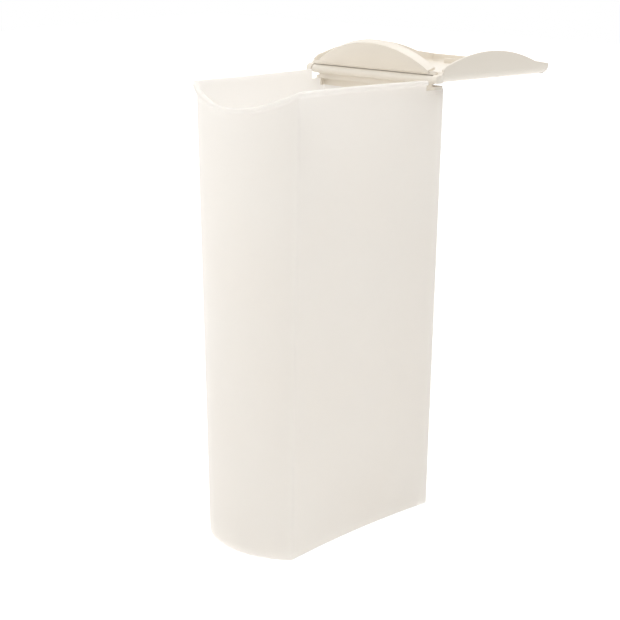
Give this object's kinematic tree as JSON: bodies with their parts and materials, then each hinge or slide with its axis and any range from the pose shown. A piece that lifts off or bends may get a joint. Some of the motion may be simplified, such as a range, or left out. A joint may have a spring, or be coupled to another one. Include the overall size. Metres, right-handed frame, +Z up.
{
  "type": "cereal container",
  "caption": "Tall translucent food container with bowed walls, a dipped pouring rim and an opaque flip lid hinged on a rail clipped to its back wall.",
  "frame": {"origin": "centre of the base on the ground plane", "axes": "+Z up, the pouring front faces -Y, the hinge and the open lid lie towards +Y"},
  "size_m": [0.1094, 0.2844, 0.319],
  "materials": {
    "frosted_body": "satin translucent polypropylene",
    "lid_plastic": "satin opaque polypropylene",
    "rod_plastic": "plain moulded"
  },
  "bodies": {
    "container": {"container": "frosted_body"},
    "rail": {"hinge_rail": "lid_plastic", "hinge_rod": "rod_plastic"},
    "lid": {"flip_lid": "lid_plastic"}
  },
  "joints": [
    {"name": "rail_lift", "type": "slide", "parent": "container", "child": "rail", "axis": [0, 0, 1], "range_m": [0, 0.05]},
    {"name": "lid_hinge", "type": "hinge", "parent": "rail", "child": "lid", "pos_m": [0, 0.05545, 0.29634], "axis": [1, 0, 0], "range_deg": [0, 180.7]}
  ]
}
